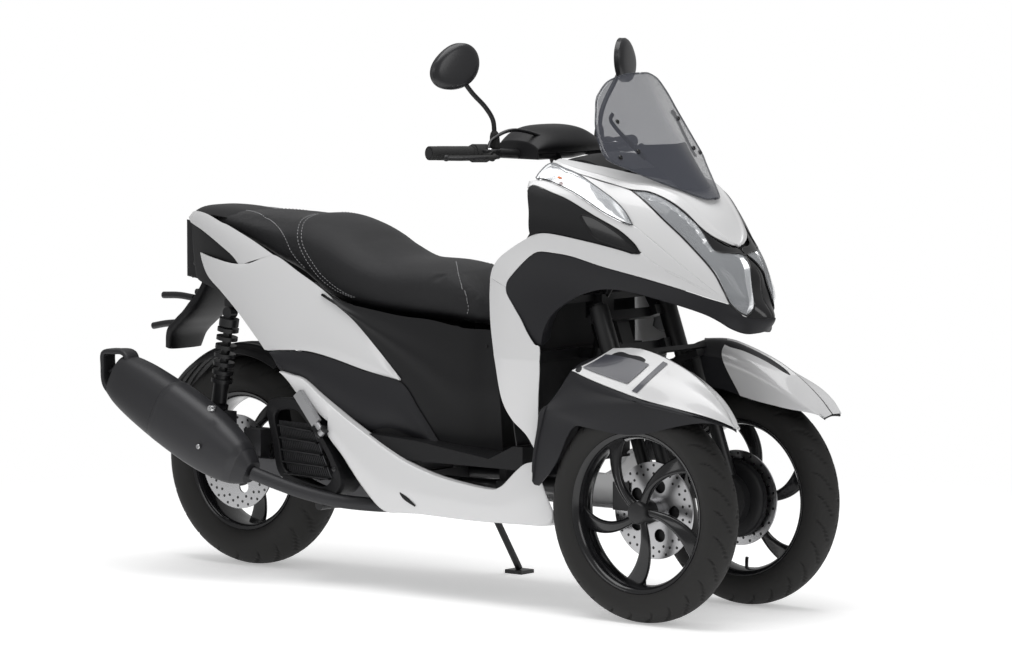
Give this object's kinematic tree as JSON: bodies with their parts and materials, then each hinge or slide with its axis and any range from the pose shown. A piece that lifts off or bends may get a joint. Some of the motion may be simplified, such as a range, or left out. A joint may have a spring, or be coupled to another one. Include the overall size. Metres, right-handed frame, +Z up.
{
  "type": "leaning reverse trike scooter",
  "caption": "Step-through scooter with paired steered wheels in front on a leaning linkage, a driven rear wheel, white bodywork, smoked screen and stepped seat.",
  "frame": {"origin": "on the floor under the centre of the overall length and width", "axes": "+X forward along the length, +Y to the rider's left, +Z up"},
  "size_m": [1.893, 0.754, 1.292],
  "materials": {
    "painted_white": "gloss white enamel on moulded panels",
    "fender_paint": "gloss white blade with dark lower skirt",
    "black_plastic": "grained black moulding",
    "frame_paint": "black enamel",
    "cast_alloy": "sand cast, coated dark",
    "exhaust_black": "heat resistant matt black",
    "shock_black": "black springs and dampers",
    "lamp_clear": "clear lens over silver reflectors",
    "lamp_red": "dark red lens in black housing",
    "screen_smoke": "smoke tinted sheet",
    "seat_leather": "black vinyl cover with stitching",
    "wheel_gloss": "gloss black cast wheel",
    "tyre_rubber": "road tread rubber",
    "disc_steel": "drilled ground disc",
    "peg_alloy": "cast folding peg"
  },
  "bodies": {
    "chassis": {"main_frame": "frame_paint", "linkage": "frame_paint", "engine": "cast_alloy", "drive_case": "cast_alloy", "exhaust": "exhaust_black", "radiator_cover": "black_plastic", "rear_shocks": "shock_black", "rear_mudguard": "black_plastic", "tail_lamp": "lamp_red", "tail_cover": "black_plastic", "side_covers": "painted_white", "centre_cover": "black_plastic", "storage_tub": "black_plastic", "floor_board": "black_plastic", "lower_fairings": "painted_white", "leg_shield": "black_plastic", "front_cowl": "painted_white", "side_panels": "black_plastic", "front_lamps": "lamp_clear", "chin_cowl": "black_plastic", "meter_hood": "black_plastic", "windshield": "screen_smoke"},
    "bar": {"handlebar": "frame_paint", "bar_cover": "black_plastic", "bar_controls": "black_plastic", "mirrors": "frame_paint"},
    "tie": {"tie_rod": "frame_paint"},
    "right_fork": {"fork_right": "frame_paint", "fender_right": "fender_paint"},
    "left_fork": {"fork_left": "frame_paint", "fender_left": "fender_paint"},
    "right_wheel": {"front_wheel_right": "wheel_gloss", "front_tyre_right": "tyre_rubber", "front_disc_right": "disc_steel"},
    "left_wheel": {"front_wheel_left": "wheel_gloss", "front_tyre_left": "tyre_rubber", "front_disc_left": "disc_steel"},
    "back_wheel": {"rear_wheel": "wheel_gloss", "rear_tyre": "tyre_rubber", "rear_disc": "disc_steel"},
    "seat_body": {"seat": "seat_leather"},
    "stand": {"side_stand": "frame_paint"},
    "main_stand": {"centre_stand": "frame_paint"},
    "right_peg": {"peg_right": "peg_alloy"},
    "left_peg": {"peg_left": "peg_alloy"}
  },
  "joints": [
    {"name": "steering", "type": "hinge", "parent": "chassis", "child": "bar", "pos_m": [0.4297, 0, 0.62588], "axis": [-0.342, 0, 0.9397], "range_deg": [-35, 35]},
    {"name": "right_steer", "type": "hinge", "parent": "chassis", "child": "right_fork", "pos_m": [0.53138, -0.125, 0.6416], "axis": [-0.342, 0, 0.9397], "range_deg": [-35, 35]},
    {"name": "left_steer", "type": "hinge", "parent": "chassis", "child": "left_fork", "pos_m": [0.53138, 0.125, 0.6416], "axis": [-0.342, 0, 0.9397], "range_deg": [-35, 35]},
    {"name": "tie_rod_pin", "type": "hinge", "parent": "bar", "child": "tie", "pos_m": [0.51464, 0, 0.56208], "axis": [-0.342, 0, 0.9397], "range_deg": [-35, 35]},
    {"name": "right_wheel_spin", "type": "hinge", "parent": "right_fork", "child": "right_wheel", "pos_m": [0.697, -0.1925, 0.25], "axis": [0, 1, 0], "continuous": true},
    {"name": "left_wheel_spin", "type": "hinge", "parent": "left_fork", "child": "left_wheel", "pos_m": [0.697, 0.1925, 0.25], "axis": [0, 1, 0], "continuous": true},
    {"name": "rear_wheel_spin", "type": "hinge", "parent": "chassis", "child": "back_wheel", "pos_m": [-0.653, 0, 0.256], "axis": [0, 1, 0], "continuous": true},
    {"name": "seat_hinge", "type": "hinge", "parent": "chassis", "child": "seat_body", "pos_m": [0.15, 0, 0.624], "axis": [0, 1, 0], "range_deg": [0, 50]},
    {"name": "side_stand_pivot", "type": "hinge", "parent": "chassis", "child": "stand", "pos_m": [-0.06, 0.16, 0.2], "axis": [0.0968, 0.8609, 0.4995], "range_deg": [0, 86.04]},
    {"name": "centre_stand_pivot", "type": "hinge", "parent": "chassis", "child": "main_stand", "pos_m": [-0.15, 0, 0.186], "axis": [0, -1, 0], "range_deg": [0, 80], "stiffness_Nm_per_rad": 6, "springref_deg": -34.38},
    {"name": "right_peg_pivot", "type": "hinge", "parent": "chassis", "child": "right_peg", "pos_m": [-0.246, -0.216, 0.368], "axis": [0.7618, 0, 0.6478], "range_deg": [0, 90]},
    {"name": "left_peg_pivot", "type": "hinge", "parent": "chassis", "child": "left_peg", "pos_m": [-0.246, 0.216, 0.368], "axis": [-0.7618, 0, -0.6478], "range_deg": [0, 90]}
  ],
  "couplings": [
    {"joint": "right_steer", "follows": "steering", "ratio": 1},
    {"joint": "left_steer", "follows": "steering", "ratio": 1},
    {"joint": "tie_rod_pin", "follows": "steering", "ratio": -1}
  ]
}
